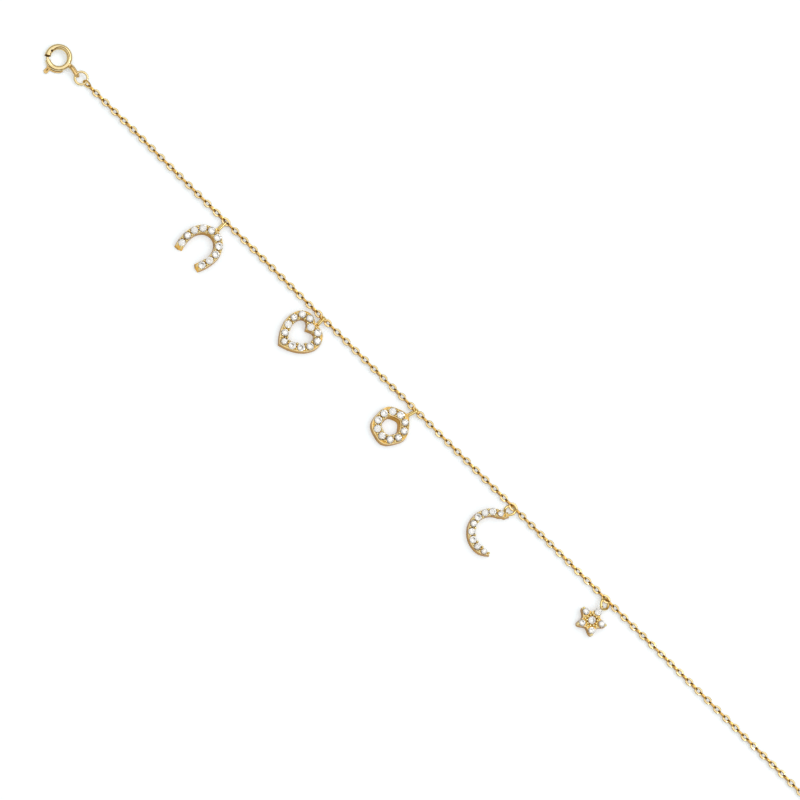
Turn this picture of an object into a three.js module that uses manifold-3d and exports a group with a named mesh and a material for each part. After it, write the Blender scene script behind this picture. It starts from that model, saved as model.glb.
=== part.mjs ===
// Charm anklet: a fine cable chain laid out straight and open, with a spring-ring clasp,
// five stone-set charms on jump rings, and a plain ring at the other end.
// Millimetres, +Z up. The anklet lies on the plane z = 0. The chain runs along +X from the
// clasp to the end ring, and the charms lie towards -Y.

import * as THREE from 'three';
import { mergeVertices } from 'three/addons/utils/BufferGeometryUtils.js';
import Module from 'manifold-3d';

const wasm = await Module();
wasm.setup();
const rad = THREE.MathUtils.degToRad;

// Chain. Stations along it are counted in links from the first one.
const LINK_PITCH = 1.232;
const LINK_COUNT = 196;
const LINK_LENGTH = 1.9;
const CHAIN_DIAMETER = 1.3;
const CHAIN_HEIGHT = 0.7;
const CHAIN_STEPS = 60;
const LINK_HOLE = { length: 1.44, width: 0.8 };
const LINK_THICKNESS = 0.26;
const LINK_CLEARANCE = 1.65;

// Clasp, in its own plane, which leans towards the charms' side. Its middle drops a little
// that way from the chain's line.
const CLASP = { radius: 2.08, tube: 0.54, bore: 0.36, lean: 10, tubeStart: 238, tubeEnd: 578 };
const CLASP_DROP = 0.3;
const CLASP_STEPS = 28;
const SLOT = { start: 262, end: 330, width: 0.56, depth: 0.45 };
const BOLT = { radius: 0.25, start: 214, end: 300 };
const KNOB = { at: 272, inner: 1.95, outer: 3.75, width: 0.66, thickness: 0.42 };
const CLASP_EYE = { halfHeight: 0.53, wire: 0.23, innerEnd: 2.42, outerEnd: 5.3, turn: -9 };
const CLASP_JUMP_RING = { radius: 1.2, wire: 0.21, at: 5.72 };
const FIRST_LINK_AT = 7.27;
const END_RING = { radius: 1.75, wire: 0.25 };

// Charms.
const BODY_HEIGHT = 1.5;
const STONE = { radius: 0.66, table: 0.38, seat: 1.4, girdle: 1.65, top: 1.95, sides: 7 };
const EYE = { radius: 0.44, wire: 0.12, height: 0.7 };
const BAIL_WIRE = 0.17;
const BAIL_BEND = 0.44;
const FLAT_BAIL = { radius: 1.05, wire: 0.17, tilt: 36, drop: 0.93, height: 0.82 };
const WIRE_SIDES = 8;

// A row for each charm: the link that its jump ring threads, that link's roll about the chain,
// the charm's middle from that link, its turn, and its eye from that link. A flat jump ring
// also has its sideways place, the side that is up, and the turn of its tilting axis.
const CHARMS = [
  { name: 'horseshoe', link: 30, roll: 0, x: -0.02, y: -6.9, turn: -3.5, eyeX: 0, eyeY: -2.27 },
  { name: 'heart', link: 51, roll: 130, x: -1.06, y: -5.29, turn: -15, eyeX: 0.05, eyeY: -1.8 },
  { name: 'circle', link: 71, roll: 130, x: -1.31, y: -5.67, turn: 0, eyeX: -0.46, eyeY: -1.9 },
  { name: 'moon', link: 92, roll: 0, x: 0.54, y: -6.58, turn: 0, ringX: 0, up: 1, swing: -10 },
  { name: 'star', link: 112, roll: 0, x: 0.79, y: -5.03, turn: 4, ringX: 0.5, up: -1, swing: 35 },
];

const gold = (roughness) => new THREE.MeshStandardMaterial({
  color: 0xe3b04b,
  roughness,
  metalness: 1,
});

// ---- solids ----

function toSolid(geometry) {
  const bare = geometry.clone();
  bare.deleteAttribute('normal');
  bare.deleteAttribute('uv');
  const merged = mergeVertices(bare, 1e-4);
  const corners = Array.from(merged.index.array);
  const triangles = [];
  for (let i = 0; i < corners.length; i += 3) {
    const [a, b, c] = corners.slice(i, i + 3);
    if (a !== b && b !== c && c !== a) triangles.push(a, b, c);
  }
  return new wasm.Manifold(new wasm.Mesh({
    numProp: 3,
    vertProperties: new Float32Array(merged.attributes.position.array),
    triVerts: new Uint32Array(triangles),
  }));
}

function toGeometry(solid) {
  const mesh = solid.getMesh();
  const geometry = new THREE.BufferGeometry();
  geometry.setAttribute('position', new THREE.BufferAttribute(mesh.vertProperties, 3));
  geometry.setIndex(new THREE.BufferAttribute(mesh.triVerts, 1));
  geometry.computeVertexNormals();
  return geometry;
}

function join(geometries) {
  const [first, ...rest] = geometries.map(toSolid);
  return rest.reduce((whole, piece) => whole.add(piece), first);
}

function roundSection(radius, sides) {
  const corner = (i) => {
    const angle = (2 * Math.PI * (i + 0.5)) / sides;
    return new THREE.Vector2(radius * Math.cos(angle), radius * Math.sin(angle));
  };
  return new THREE.Shape(Array.from({ length: sides }, (_, i) => corner(i)));
}

function wireAlong(path, radius, sides, steps) {
  return new THREE.ExtrudeGeometry(roundSection(radius, sides), {
    extrudePath: path,
    steps,
    bevelEnabled: false,
  });
}

// An arc of a circle in the XY plane, by its two angles in degrees.
class ArcPath extends THREE.Curve {
  constructor(radius, start, end) {
    super();
    Object.assign(this, { radius, start, end });
  }

  getPoint(t, target = new THREE.Vector3()) {
    const angle = rad(this.start + (this.end - this.start) * t);
    return target.set(this.radius * Math.cos(angle), this.radius * Math.sin(angle), 0);
  }
}

// A bent wire in the XY plane: two half circles joined by straight sides along Y, open by a
// hairline joint halfway up one side.
class LoopPath extends THREE.Curve {
  constructor(radius, side, joint = 0.03) {
    super();
    Object.assign(this, { radius, side, joint });
  }

  getPoint(t, target = new THREE.Vector3()) {
    const { radius, side, joint } = this;
    const bend = Math.PI * radius;
    const length = 2 * (bend + side);
    let along = joint / 2 + t * (length - joint) + side / 2;
    const half = along >= length ? 2 : Math.floor(along / (side + bend));
    along -= half * (side + bend);
    const flip = half % 2 === 0 ? 1 : -1;
    if (along < side) return target.set(flip * radius, flip * (along - side / 2), 0);
    const angle = (along - side) / radius;
    return target.set(
      flip * radius * Math.cos(angle),
      flip * (side / 2 + radius * Math.sin(angle)),
      0,
    );
  }
}

const roundRing = (radius, wire, steps) =>
  wireAlong(new LoopPath(radius, 0), wire, WIRE_SIDES, steps);

// ---- chain ----

const linkAt = (index) => FIRST_LINK_AT + index * LINK_PITCH;

// What is cut from the tube where a ring threads it: it leaves one flat link with its hole.
function threadedLink(index, roll) {
  const length = 2 * LINK_CLEARANCE;
  const beside = new THREE.BoxGeometry(length, 4, 2);
  const lift = LINK_THICKNESS / 2 + 1;
  const cuts = [
    beside.clone().translate(0, 0, lift),
    beside.clone().translate(0, 0, -lift),
    new THREE.BoxGeometry(LINK_HOLE.length, LINK_HOLE.width, 2),
  ];
  const place = (cut) => cut.rotateX(rad(roll)).translate(linkAt(index), 0, CHAIN_HEIGHT);
  return join(cuts.map(place));
}

function chainGeometry() {
  const start = linkAt(0) - LINK_LENGTH / 2;
  const end = linkAt(LINK_COUNT - 1) + LINK_LENGTH / 2;
  const route = new THREE.LineCurve3(
    new THREE.Vector3(start, 0, CHAIN_HEIGHT),
    new THREE.Vector3(end, 0, CHAIN_HEIGHT),
  );
  let chain = toSolid(wireAlong(route, CHAIN_DIAMETER / 2, 8, CHAIN_STEPS));
  const threaded = [{ link: 0, roll: 90 }, ...CHARMS, { link: LINK_COUNT - 1, roll: 90 }];
  for (const { link, roll } of threaded) {
    chain = chain.subtract(threadedLink(link, roll));
  }
  return toGeometry(chain);
}

// ---- clasp ----

function slotCut() {
  const sector = new THREE.Shape();
  sector.absarc(0, 0, CLASP.radius + 1, rad(SLOT.start), rad(SLOT.end), false);
  sector.absarc(0, 0, CLASP.radius + SLOT.depth - CLASP.bore, rad(SLOT.end), rad(SLOT.start), true);
  const cut = new THREE.ExtrudeGeometry(sector, { depth: SLOT.width, bevelEnabled: false });
  return toSolid(cut.translate(0, 0, -SLOT.width / 2));
}

function claspTubeGeometry() {
  const path = new ArcPath(CLASP.radius, CLASP.tubeStart, CLASP.tubeEnd);
  const wall = roundSection(CLASP.tube, 10);
  wall.holes.push(new THREE.Path(roundSection(CLASP.bore, 10).getPoints().reverse()));
  const tube = new THREE.ExtrudeGeometry(wall, {
    extrudePath: path,
    steps: CLASP_STEPS,
    bevelEnabled: false,
  });
  const bore = wireAlong(path, CLASP.bore, 10, CLASP_STEPS);
  const reach = CLASP_EYE.outerEnd - CLASP_EYE.innerEnd - 2 * CLASP_EYE.wire;
  const eye = wireAlong(
    new LoopPath(CLASP_EYE.halfHeight, reach - 2 * CLASP_EYE.halfHeight),
    CLASP_EYE.wire,
    WIRE_SIDES,
    28,
  );
  eye.rotateZ(Math.PI / 2).rotateX(Math.PI / 2);
  eye.translate((CLASP_EYE.innerEnd - CLASP_EYE.outerEnd) / 2, 0, 0);
  eye.rotateZ(rad(CLASP_EYE.turn)).translate(CLASP_EYE.outerEnd, 0, 0);
  return toGeometry(join([tube, eye]).subtract(toSolid(bore)).subtract(slotCut()));
}

function triggerGeometry() {
  const bolt = wireAlong(new ArcPath(CLASP.radius, BOLT.start, BOLT.end), BOLT.radius, 10, 20);
  const reach = KNOB.outer - KNOB.inner;
  const knob = new THREE.Shape();
  knob.moveTo(0, -KNOB.width / 2);
  knob.lineTo(reach - KNOB.width / 2, -KNOB.width / 2);
  knob.absarc(reach - KNOB.width / 2, 0, KNOB.width / 2, -Math.PI / 2, Math.PI / 2, false);
  knob.lineTo(0, KNOB.width / 2);
  const peg = new THREE.ExtrudeGeometry(knob, {
    depth: KNOB.thickness,
    bevelEnabled: false,
    curveSegments: 6,
  });
  peg.translate(KNOB.inner, 0, -KNOB.thickness / 2).rotateZ(rad(KNOB.at));
  return toGeometry(join([bolt, peg]));
}

// ---- charms ----

function stoneGeometry(x, y) {
  const profile = [
    [0, STONE.seat],
    [STONE.radius, STONE.seat],
    [STONE.radius, STONE.girdle],
    [STONE.table, STONE.top],
    [0, STONE.top],
  ];
  const points = profile.map(([r, z]) => new THREE.Vector2(r, z));
  return new THREE.LatheGeometry(points, STONE.sides).rotateX(Math.PI / 2).translate(x, y, 0);
}

const slab = (shape) =>
  new THREE.ExtrudeGeometry(shape, { depth: BODY_HEIGHT, bevelEnabled: false, curveSegments: 12 });

// The line at a distance from an evenly stepped centreline, to its left when positive.
function offsetLine(points, distance) {
  return points.map((point, i) => {
    const before = points[Math.max(i - 1, 0)];
    const after = points[Math.min(i + 1, points.length - 1)];
    const along = after.clone().sub(before).normalize();
    return new THREE.Vector2(point.x - along.y * distance, point.y + along.x * distance);
  });
}

// Horseshoe: half an ellipse over the top, and two longer ellipse arcs down to its heels.
function horseshoeParts() {
  const wide = 3.17;
  const up = 3.6;
  const down = 5.4;
  const heel = 38;
  const line = new THREE.Path();
  line.absellipse(0, 0, wide, down, rad(180 + heel), Math.PI, true);
  line.absellipse(0, 0, wide, up, Math.PI, 0, true);
  line.absellipse(0, 0, wide, down, 0, rad(-heel), true);
  const points = line.getSpacedPoints(40);
  const body = new THREE.Shape([
    ...offsetLine(points, 0.75),
    ...offsetLine(points, -0.75).reverse(),
  ]);
  const length = line.getLength();
  const pitch = 1.72;
  const stones = Array.from({ length: 10 }, (_, i) =>
    line.getPointAt(0.5 + ((i - 4.5) * pitch) / length));
  return { body, stones };
}

// Heart: each side is two curves, from the notch over the lobe and down to the point.
function heartParts() {
  const side = new THREE.Path();
  side.moveTo(0, 2.25);
  side.bezierCurveTo(0.45, 2.9, 1.9, 3.5, 2.85, 2.1);
  side.bezierCurveTo(3.75, 0.75, 2.9, -1.9, 0, -3.65);
  const mirror = ({ x, y }) => new THREE.Vector2(-x, y);
  const onAxis = (a, b) => new THREE.Vector2(0, a.y + ((b.y - a.y) * a.x) / (a.x - b.x));
  const outline = (distance) => {
    const offset = offsetLine(side.getSpacedPoints(24), distance).filter(({ x }) => x > 0.02);
    const notch = onAxis(offset[0], offset[1]);
    const point = onAxis(offset.at(-1), offset.at(-2));
    return [notch, ...offset.map(mirror), point, ...offset.reverse()];
  };
  const body = new THREE.Shape(outline(0.76));
  body.holes.push(new THREE.Path(outline(-0.72)));
  const right = Array.from({ length: 7 }, (_, i) => side.getPointAt(i / 6));
  return { body, stones: [...right, ...right.slice(1, 6).map(mirror)] };
}

// A five-sided ring outline with soft corners: swell is how far the corners stand out.
function softPentagon(flat, swell, cornerAngle) {
  return Array.from({ length: 40 }, (_, i) => {
    const angle = (2 * Math.PI * i) / 40;
    const radius = flat * (1 + swell * (1 + Math.cos(5 * (angle - rad(cornerAngle)))));
    return new THREE.Vector2(radius * Math.cos(angle), radius * Math.sin(angle));
  });
}

function circleParts() {
  const corner = 75;
  const body = new THREE.Shape(softPentagon(3.35, 0.035, corner));
  body.holes.push(new THREE.Path(softPentagon(1.7, 0.04, corner)));
  const stones = Array.from({ length: 10 }, (_, i) => {
    const angle = rad(corner + 18 + 36 * i);
    return new THREE.Vector2(2.65 * Math.cos(angle), 2.65 * Math.sin(angle));
  });
  return { body, stones };
}

// Moon: a crescent between two rims that draw together at its horns.
function moonParts() {
  const horns = { upper: 90, lower: 308 };
  const rim = (middle, upper, lower) => Array.from({ length: 37 }, (_, i) => {
    const angle = horns.upper + ((horns.lower - horns.upper) * i) / 36;
    const toUpper = THREE.MathUtils.smoothstep(angle, horns.upper + 6, 112);
    const toLower = 1 - THREE.MathUtils.smoothstep(angle, 284, horns.lower);
    const radius = middle + (upper - middle) * (1 - toUpper) + (lower - middle) * (1 - toLower);
    return new THREE.Vector2(radius * Math.cos(rad(angle)), radius * Math.sin(rad(angle)));
  });
  const body = new THREE.Shape([...rim(4.68, 4.25, 4.4), ...rim(3.33, 3.4, 3.85).reverse()]);
  const stones = Array.from({ length: 9 }, (_, i) => {
    const angle = rad(110.3 + 22.4 * i);
    return new THREE.Vector2(4 * Math.cos(angle), 4 * Math.sin(angle));
  });
  return { body, stones };
}

// Star: five blunt points round a middle stone. The first point carries the eye, and is
// shorter to leave room for the jump ring.
function starParts() {
  const outline = [];
  for (let point = 0; point < 5; point += 1) {
    const angle = 90 + 72 * point;
    const tip = point === 0 ? 2.68 : 2.85;
    for (const [turn, radius] of [[-36, 1.72], [-5, tip], [5, tip]]) {
      const at = rad(angle + turn);
      outline.push(new THREE.Vector2(radius * Math.cos(at), radius * Math.sin(at)));
    }
  }
  const tips = Array.from({ length: 5 }, (_, i) => {
    const angle = rad(90 + 72 * i);
    return new THREE.Vector2(2.02 * Math.cos(angle), 2.02 * Math.sin(angle));
  });
  return { body: new THREE.Shape(outline), stones: [new THREE.Vector2(0, 0), ...tips] };
}

const CHARM_PARTS = {
  horseshoe: horseshoeParts,
  heart: heartParts,
  circle: circleParts,
  moon: moonParts,
  star: starParts,
};

// Where the jump ring of a charm passes through its eye, from the charm's link.
function eyePlace(charm) {
  if ('eyeX' in charm) return { x: charm.eyeX, y: charm.eyeY, z: EYE.height, upright: false };
  const bottom = flatBailTurn(charm).multiplyVector(0, -FLAT_BAIL.radius);
  return {
    x: charm.ringX + bottom.x,
    y: -FLAT_BAIL.drop + bottom.y,
    z: FLAT_BAIL.height + bottom.z,
    upright: true,
  };
}

// A flat jump ring lies tilted, so that one side goes over its link and the other under it.
function flatBailTurn(charm) {
  const axis = new THREE.Vector3(-Math.sin(rad(charm.swing)), Math.cos(rad(charm.swing)), 0);
  const turn = new THREE.Quaternion().setFromAxisAngle(axis, rad(-charm.up * FLAT_BAIL.tilt));
  const multiplyVector = (x, y) => new THREE.Vector3(x, y, 0).applyQuaternion(turn);
  return { turn, multiplyVector };
}

function charmGeometry(charm) {
  const { body, stones } = CHARM_PARTS[charm.name]();
  const pieces = [slab(body), ...stones.map(({ x, y }) => stoneGeometry(x, y))];
  for (const piece of pieces) {
    piece.rotateZ(rad(charm.turn)).translate(charm.x, charm.y, 0);
  }
  const eye = new THREE.TorusGeometry(EYE.radius, EYE.wire, 8, 14);
  const place = eyePlace(charm);
  if (place.upright) eye.rotateY(Math.PI / 2);
  eye.translate(place.x, place.y, place.z);
  return toGeometry(join([...pieces, eye]));
}

function flatBail(charm) {
  const { radius, wire, drop, height } = FLAT_BAIL;
  const ring = roundRing(radius, wire, 28).applyQuaternion(flatBailTurn(charm).turn);
  return ring.translate(charm.ringX, -drop, height);
}

// An upright jump ring is an oval from round one bar of its link to round the charm's eye.
function uprightBail(charm) {
  const across = LINK_HOLE.width / 2 + 0.15;
  const nearBar = charm.roll === 0 ? -across : across;
  const linkEnd = new THREE.Vector3(
    0,
    nearBar * Math.cos(rad(charm.roll)),
    CHAIN_HEIGHT + nearBar * Math.sin(rad(charm.roll)),
  );
  const eye = new THREE.Vector3(charm.eyeX, charm.eyeY, EYE.height);
  const along = linkEnd.clone().sub(eye).normalize();
  const eyeEnd = eye.addScaledVector(along, BAIL_BEND);
  const side = linkEnd.distanceTo(eyeEnd);
  const ring = wireAlong(new LoopPath(BAIL_BEND, side), BAIL_WIRE, WIRE_SIDES, 32);
  const flank = new THREE.Vector3(0, 0, 1).cross(along).normalize();
  const up = along.clone().cross(flank).negate().normalize();
  const basis = new THREE.Matrix4().makeBasis(up, along, up.clone().cross(along));
  const middle = linkEnd.clone().add(eyeEnd).multiplyScalar(0.5);
  return ring.applyMatrix4(basis).translate(middle.x, middle.y, middle.z);
}

// ---- assembly ----

const anklet = new THREE.Group();

function addPiece(name, geometry, parent, roughness = 0.25) {
  const piece = new THREE.Mesh(geometry, gold(roughness));
  piece.name = name;
  parent.add(piece);
  return piece;
}

addPiece('chain', chainGeometry(), anklet, 0.3);

const clasp = new THREE.Group();
clasp.rotation.x = rad(CLASP.lean);
clasp.position.set(0, -CLASP_DROP, CLASP.tube + CLASP.radius * Math.sin(rad(CLASP.lean)));
addPiece('clasp_tube', claspTubeGeometry(), clasp);
addPiece('clasp_trigger', triggerGeometry(), clasp);
anklet.add(clasp);

const claspJumpRing = addPiece(
  'clasp_jump_ring',
  roundRing(CLASP_JUMP_RING.radius, CLASP_JUMP_RING.wire, 28),
  anklet,
);
const slope = Math.asin((clasp.position.z - CHAIN_HEIGHT) / (2 * CLASP_JUMP_RING.radius));
claspJumpRing.rotation.set(rad(CLASP.lean), slope, 0);
claspJumpRing.position.set(CLASP_JUMP_RING.at, 0, (clasp.position.z + CHAIN_HEIGHT) / 2);

for (const charm of CHARMS) {
  const station = new THREE.Group();
  station.position.x = linkAt(charm.link);
  addPiece(`${charm.name}_charm`, charmGeometry(charm), station);
  addPiece(`${charm.name}_bail`, 'eyeX' in charm ? uprightBail(charm) : flatBail(charm), station);
  anklet.add(station);
}

const endRing = addPiece('end_ring', roundRing(END_RING.radius, END_RING.wire, 32), anklet);
const endSlope = Math.asin((CHAIN_HEIGHT - END_RING.wire) / (2 * END_RING.radius));
endRing.rotation.y = endSlope;
endRing.position.set(
  linkAt(LINK_COUNT - 1) + LINK_HOLE.length / 2 - END_RING.wire - 0.1
    + END_RING.radius * Math.cos(endSlope),
  0,
  (CHAIN_HEIGHT + END_RING.wire) / 2,
);

// The origin is the middle of the footprint, on the surface.
anklet.updateMatrixWorld(true);
const bounds = new THREE.Box3().setFromObject(anklet, true);
const middle = bounds.getCenter(new THREE.Vector3());
anklet.position.set(-middle.x, -middle.y, -bounds.min.z);

export default anklet;
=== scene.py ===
import math
import random

import bpy
from mathutils import Matrix, Vector
from mathutils.geometry import tessellate_polygon


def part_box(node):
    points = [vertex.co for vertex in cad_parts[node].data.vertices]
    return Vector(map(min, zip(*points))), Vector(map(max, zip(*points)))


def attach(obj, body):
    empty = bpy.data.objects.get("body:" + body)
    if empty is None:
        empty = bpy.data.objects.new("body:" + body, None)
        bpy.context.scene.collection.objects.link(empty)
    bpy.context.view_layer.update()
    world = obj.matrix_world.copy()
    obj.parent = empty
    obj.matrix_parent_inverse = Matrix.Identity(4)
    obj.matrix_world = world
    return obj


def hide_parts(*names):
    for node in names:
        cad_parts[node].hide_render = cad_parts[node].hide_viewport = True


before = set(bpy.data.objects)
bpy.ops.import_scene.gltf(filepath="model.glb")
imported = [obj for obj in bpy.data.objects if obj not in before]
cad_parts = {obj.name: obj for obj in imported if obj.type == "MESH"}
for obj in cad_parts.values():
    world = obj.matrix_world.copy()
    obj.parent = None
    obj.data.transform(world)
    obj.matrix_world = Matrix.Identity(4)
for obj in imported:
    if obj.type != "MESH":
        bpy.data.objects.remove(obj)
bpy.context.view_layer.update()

# Charm anklet: the fine looks of its chain, clasp, charms and jump rings, in millimetres
# here and scaled to metres when a mesh is made.
MM = 0.001
rad = math.radians
rng = random.Random(7)

# Chain.
LINK_PITCH = 1.232
LINK_COUNT = 196
LINK_LENGTH = 1.9
LINK_WIRE = 0.36
LINK_DEPTH = 0.34
# Width, half length to the middle of the wire, and the wire's thickness at the ends.
FLAT_LINK = (1.32, 0.70, 0.20)
UPRIGHT_LINK = (1.34, 0.78, 0.30)
THREADED_LINK = (1.42, 0.79, 0.36)
# Outer end faces of an upright link further out than this take the dark painted shade.
LINK_END_SHADE_FROM = 0.46
CHAIN_ROLL = 4
CHAIN_HEIGHT = 0.7
THREADED_ROLL = {0: 62, 30: 0, 51: 130, 71: 130, 92: 0, 112: 0, LINK_COUNT - 1: 90}

# Clasp, in its own leaning plane.
CLASP_RADIUS = 2.08
CLASP_TUBE = 0.54
CLASP_LEAN = 10
CLASP_DROP = 0.3
CLASP_FROM_FIRST_LINK = -7.27
JUMP_RING_AT = 5.72
CLASP_EYE = {"half_height": 0.58, "wire": 0.35, "inner": 2.42, "outer": 5.3,
             "turn": -13, "roll": 15}
# Where the filled root of the eye lies, its turn, and its half sizes.
EYE_ROOT_AT = (2.62, 0.40, 0)
EYE_ROOT_TURN = -40
EYE_ROOT_SIZE = (0.66, 0.40, 0.42)
# The tube starts at this angle and runs this far round.
TUBE_START = 238
TUBE_SPAN = 340
BORE = 0.40
BOLT_RADIUS = 0.29
KNOB_ANGLE = 272
KNOB_HALF = 0.45
KNOB_GROOVE_AT = 3.12
CLASP_RING_RADIUS = 1.2
CLASP_RING_WIRE = 0.235
END_RING_RADIUS = 1.75
END_RING_WIRE = 0.25

# How much the white floor is lifted towards pure white, for the eye and for its own light.
FLOOR_LIFT = 0.32
FLOOR_GLOW = 0.04
FLOOR_REACH = 30.0
FLOOR_DROP = 0.00001

# Charms.
BODY_TOP = 1.5
STONE_R = 0.73
SMALL_STONE_R = 0.70
END_STONE_R = 0.60
GIRDLE_HEIGHT = 1.62
STONE_LEAN = 9
STONE_DEPTH = (0.70, 1.02)
STONE_TABLE = (0.44, 0.58)
SEAT_PLAY = 0.02
BEAD_R = 0.23
STAR_BEAD_R = 0.25
CHARM_EYE_R = 0.36
CHARM_EYE_TALL = 0.40
CHARM_EYE_WIRE = 0.12
BAIL_WIRE = 0.25
BAIL_LEAN = 20
BAIL_BEND = 0.46
EYE_HEIGHT = 0.7
FLAT_BAIL = {"radius": 1.05, "wire": 0.26, "tilt": 34, "drop": 0.93, "height": 0.84}
CHARMS = {
    "horseshoe": {"link": 30, "roll": 0, "at": (-0.02, -6.9), "turn": -3.5, "eye": (0, -2.27)},
    "heart": {"link": 51, "roll": 130, "at": (-1.10, -5.27), "turn": -16.5, "eye": (0.05, -1.8)},
    "circle": {"link": 71, "roll": 130, "at": (-1.31, -5.67), "turn": 0, "eye": (-0.46, -1.9)},
    "moon": {"link": 92, "at": (0.54, -6.58), "turn": 0, "ring_x": 0, "up": 1, "swing": -10,
             "pointed": False},
    "star": {"link": 112, "at": (0.79, -5.03), "turn": 6, "ring_x": 0.5, "up": -1, "swing": 35,
             "pointed": True},
}

chain_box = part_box("chain")
CHAIN_X = chain_box[0].x / MM + LINK_LENGTH / 2
CHAIN_Y = (chain_box[0].y + chain_box[1].y) / 2 / MM


# ---- materials ----

def new_material(name):
    material = bpy.data.materials.new(name)
    material.use_nodes = True
    nodes = material.node_tree.nodes
    return material, nodes, material.node_tree.links, nodes["Principled BSDF"]


def noise_node(nodes, links, scale, detail=3.0):
    coords = nodes.new("ShaderNodeTexCoord")
    noise = nodes.new("ShaderNodeTexNoise")
    noise.inputs["Scale"].default_value = scale
    noise.inputs["Detail"].default_value = detail
    links.new(coords.outputs["Object"], noise.inputs["Vector"])
    return noise


def ramp_node(nodes, links, source, low, high):
    """A ramp between two (position, colour) stops."""
    ramp = nodes.new("ShaderNodeValToRGB")
    for stop, (position, colour) in zip(ramp.color_ramp.elements, (low, high)):
        stop.position = position
        stop.color = (*colour, 1)
    links.new(source, ramp.inputs["Fac"])
    return ramp


def grey(value):
    return (value, value, value)


def metal(name, light, deep, rough, bump=0.12):
    """Polished gold: a slow change of tone, a fine change of gloss, and hairline wear."""
    material, nodes, links, shader = new_material(name)
    shader.inputs["Metallic"].default_value = 1.0
    tone = ramp_node(nodes, links, noise_node(nodes, links, 900).outputs["Fac"],
                     (0.35, deep), (0.65, light))
    links.new(tone.outputs["Color"], shader.inputs["Base Color"])
    gloss = ramp_node(nodes, links, noise_node(nodes, links, 5200, 4).outputs["Fac"],
                      (0.3, grey(rough[0])), (0.7, grey(rough[1])))
    links.new(gloss.outputs["Color"], shader.inputs["Roughness"])
    relief = nodes.new("ShaderNodeBump")
    relief.inputs["Strength"].default_value = bump
    relief.inputs["Distance"].default_value = 0.00002
    links.new(noise_node(nodes, links, 7000, 2).outputs["Fac"], relief.inputs["Height"])
    links.new(relief.outputs["Normal"], shader.inputs["Normal"])
    return material


def stone_material():
    """Clear cut stone with the faintest cloudiness."""
    material, nodes, links, shader = new_material("stone")
    shader.inputs["Transmission Weight"].default_value = 1.0
    shader.inputs["IOR"].default_value = 2.15
    haze = ramp_node(nodes, links, noise_node(nodes, links, 6000).outputs["Fac"],
                     (0.4, grey(0.0)), (0.75, grey(0.03)))
    links.new(haze.outputs["Color"], shader.inputs["Roughness"])
    tint = ramp_node(nodes, links, noise_node(nodes, links, 2500).outputs["Fac"],
                     (0.3, (0.86, 0.86, 0.84)), (0.7, (0.93, 0.93, 0.91)))
    links.new(tint.outputs["Color"], shader.inputs["Base Color"])
    return material


def floor_material():
    material, nodes, links, shader = new_material("floor")
    shader.inputs["Roughness"].default_value = 0.9
    shader.inputs["Specular IOR Level"].default_value = 0.1
    shader.inputs["Emission Color"].default_value = (0.85, 0.93, 1.0, 1)
    seen = ramp_node(nodes, links, nodes.new("ShaderNodeLightPath").outputs["Is Camera Ray"],
                     (0.0, grey(FLOOR_GLOW)), (1.0, grey(FLOOR_LIFT)))
    links.new(seen.outputs["Color"], shader.inputs["Emission Strength"])
    tone = ramp_node(nodes, links, noise_node(nodes, links, 40).outputs["Fac"],
                     (0.3, (0.85, 0.905, 0.96)), (0.7, (0.87, 0.925, 0.98)))
    links.new(tone.outputs["Color"], shader.inputs["Base Color"])
    return material


GOLD = metal("gold", (0.95, 0.79, 0.45), (0.90, 0.70, 0.34), (0.10, 0.20))
LINK_GOLD = metal("link_gold", (0.94, 0.77, 0.42), (0.88, 0.68, 0.31), (0.13, 0.24))
# The links' rim is a darker, more orange copy of their gold: painted shade.
LINK_RIM_SHADE = metal("link_rim_painted_shade", (0.88, 0.57, 0.17), (0.78, 0.45, 0.10), (0.18, 0.3))
# The outer rim of the upright links' ends is dark brown: painted shade, where they lie deep inside
# the next links.
LINK_END_SHADE = metal("link_end_painted_shade", (0.30, 0.16, 0.03), (0.18, 0.09, 0.01), (0.3, 0.45))
# Dark brown for the bore, slots, scored lines, grooves and pits cut into the gold: painted shade.
RECESS_SHADE = metal("recess_painted_shade", (0.36, 0.20, 0.05), (0.20, 0.10, 0.02), (0.35, 0.5))
# A deeper orange for the sunk channel between stones and for the stone seats: painted shade.
CHANNEL_SHADE = metal("channel_painted_shade", (0.80, 0.52, 0.16), (0.60, 0.36, 0.08), (0.2, 0.36))
# A brighter, glossier copy of the gold for the beads: painted light.
BEAD_LIGHT = metal("bead_painted_light", (0.98, 0.83, 0.42), (0.95, 0.75, 0.30), (0.06, 0.14))
# A darker orange copy of the gold for the charms' walls, their base and the star's groove: painted
# shade.
WALL_SHADE = metal("wall_painted_shade", (0.70, 0.39, 0.08), (0.56, 0.29, 0.045), (0.16, 0.28))
# A darker copy of the gold for the clasp's eye wire, lip and knob: painted shade.
DEEP_SHADE = metal("deep_gold_painted_shade", (0.84, 0.60, 0.27), (0.70, 0.46, 0.17), (0.2, 0.34))
# A brighter, more saturated copy of the gold for the charms' jump rings: painted light.
BAIL_LIT_GOLD = metal("bail_gold_painted_light", (0.98, 0.80, 0.38), (0.93, 0.70, 0.26), (0.08, 0.16))
# A deep orange copy of the gold for the open charms' bevelled ends: painted reflection of the
# shaded floor and the gold.
HEEL_REFLECTION = metal("heel_painted_reflection", (0.98, 0.60, 0.15), (0.92, 0.49, 0.08), (0.12, 0.22))
METALS = [GOLD, RECESS_SHADE, CHANNEL_SHADE, BEAD_LIGHT, WALL_SHADE, DEEP_SHADE, HEEL_REFLECTION]
S_GOLD, S_RECESS_SHADE, S_CHANNEL_SHADE, S_BEAD_LIGHT, S_WALL_SHADE, S_DEEP_SHADE, S_HEEL_REFLECTION = range(len(METALS))
LINK_METALS = [LINK_GOLD, LINK_RIM_SHADE, LINK_END_SHADE]
S_LINK, S_LINK_RIM_SHADE, S_LINK_END_SHADE = range(len(LINK_METALS))
STONE = stone_material()


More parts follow.
